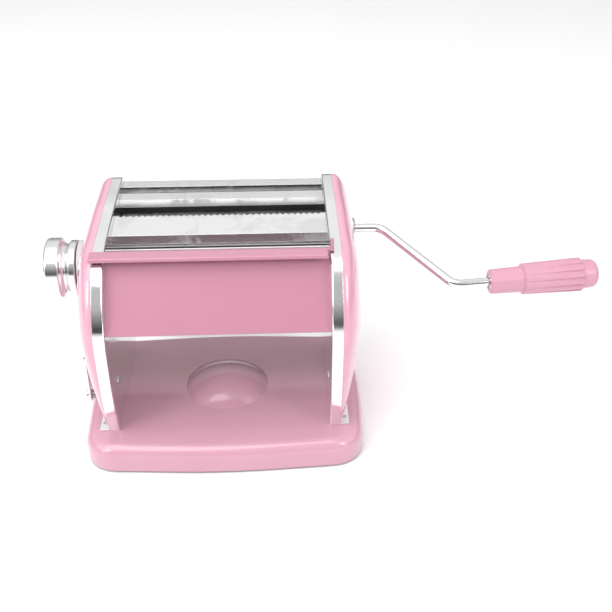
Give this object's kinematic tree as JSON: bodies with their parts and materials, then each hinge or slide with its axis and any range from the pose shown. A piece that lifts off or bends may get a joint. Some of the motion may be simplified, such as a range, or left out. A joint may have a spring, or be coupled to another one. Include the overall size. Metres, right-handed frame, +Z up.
{
  "type": "pasta roller machine",
  "caption": "Hand-cranked pasta roller: geared rollers between side plates on a pressed base, with a thickness knob, a slanted apron and a pull-off crank.",
  "frame": {"origin": "middle of the base, on the surface that the machine stands on", "axes": "+X along the rollers towards the crank, -Y towards the user, +Z up"},
  "size_m": [0.406, 0.172, 0.1645],
  "materials": {
    "enamel": "smooth pink enamel, glossy",
    "cover_plastic": "glossy pink",
    "grip_plastic": "semi-gloss pink",
    "plate_chrome": "polished",
    "top_chrome": "polished sheet",
    "rod_chrome": "polished rod",
    "knob_chrome": "satin chrome",
    "roller_steel": "ground smooth",
    "gear_steel": "machined",
    "bearing_plastic": "white bearing plastic",
    "dial_plastic": "pale grey",
    "scraper_plastic": "ivory",
    "screw_steel": "zinc plated",
    "spring_steel": "drawn wire",
    "foot_rubber": "matt black",
    "housing_plastic": "black"
  },
  "bodies": {
    "frame": {"base_tray": "enamel", "front_panel": "enamel", "rear_panel": "enamel", "left_side_cover": "cover_plastic", "right_side_cover": "cover_plastic", "left_side_plate": "plate_chrome", "right_side_plate": "plate_chrome", "front_guard_plate": "top_chrome", "rear_guard_plate": "top_chrome", "rear_top_bar": "top_chrome", "front_tie_rod": "rod_chrome", "lower_tie_rods": "rod_chrome", "tie_rod_screws": "screw_steel", "plate_screws": "screw_steel", "cover_rivets": "screw_steel", "front_scraper": "scraper_plastic", "rear_scraper": "scraper_plastic", "rubber_feet": "foot_rubber", "suction_housing": "housing_plastic", "suction_pad": "foot_rubber", "crank_ferrule": "rod_chrome", "left_rear_bush": "bearing_plastic", "right_rear_bush": "bearing_plastic", "dial_plate": "dial_plastic"},
    "rear_roller_set": {"rear_roller": "roller_steel", "rear_gear": "gear_steel", "drive_socket": "gear_steel"},
    "crank": {"crank_rod": "rod_chrome", "grip_washer": "rod_chrome"},
    "grip": {"crank_grip": "grip_plastic"},
    "front_carriage": {"right_bearing_block": "bearing_plastic", "left_bearing_block": "bearing_plastic"},
    "front_roller_set": {"front_roller": "roller_steel", "front_gear": "gear_steel"},
    "knob_spindle": {"adjusting_shaft": "gear_steel", "left_gap_cam": "gear_steel", "right_gap_cam": "gear_steel", "spring_washer": "screw_steel", "knob_screw": "screw_steel", "knob_spring": "spring_steel"},
    "knob": {"adjusting_knob": "knob_chrome", "knob_cap": "knob_chrome", "detent_pin": "screw_steel"},
    "suction_cam": {"cam_shaft": "gear_steel", "suction_lever": "rod_chrome", "lever_nut": "rod_chrome"},
    "stem": {"suction_stem": "gear_steel"}
  },
  "joints": [
    {"name": "crank_turn", "type": "hinge", "parent": "frame", "child": "rear_roller_set", "pos_m": [0, 0.056, 0.13], "axis": [1, 0, 0], "continuous": true},
    {"name": "crank_pull", "type": "slide", "parent": "rear_roller_set", "child": "crank", "axis": [1, 0, 0], "range_m": [0, 0.012]},
    {"name": "grip_turn", "type": "hinge", "parent": "crank", "child": "grip", "pos_m": [0.199, 0.00689, 0.10875], "axis": [0.9972, 0.0688, 0.0298], "continuous": true},
    {"name": "knob_turn", "type": "hinge", "parent": "frame", "child": "knob_spindle", "pos_m": [0, 0.009, 0.1273], "axis": [1, 0, 0], "range_deg": [0, 200]},
    {"name": "knob_pull", "type": "slide", "parent": "knob_spindle", "child": "knob", "axis": [-1, 0, 0], "range_m": [0, 0.004], "stiffness_N_per_m": 1200, "springref_m": -0.003, "deforming": ["knob_spring"]},
    {"name": "gap_slide", "type": "slide", "parent": "frame", "child": "front_carriage", "axis": [0, 0.917, 0.399], "range_m": [0, 0.0014]},
    {"name": "front_roller_turn", "type": "hinge", "parent": "front_carriage", "child": "front_roller_set", "pos_m": [0, 0.0275, 0.1176], "axis": [1, 0, 0], "continuous": true},
    {"name": "lever_turn", "type": "hinge", "parent": "frame", "child": "suction_cam", "pos_m": [0, 0.004, 0.0145], "axis": [1, 0, 0], "range_deg": [0, 90]},
    {"name": "stem_lift", "type": "slide", "parent": "frame", "child": "stem", "axis": [0, 0, 1], "range_m": [0, 0.00298]}
  ],
  "couplings": [
    {"joint": "front_roller_turn", "follows": "crank_turn", "ratio": -1},
    {"joint": "knob_turn", "follows": "gap_slide", "rad_per_m": 2493},
    {"joint": "lever_turn", "follows": "stem_lift", "rad_per_m": 526}
  ]
}
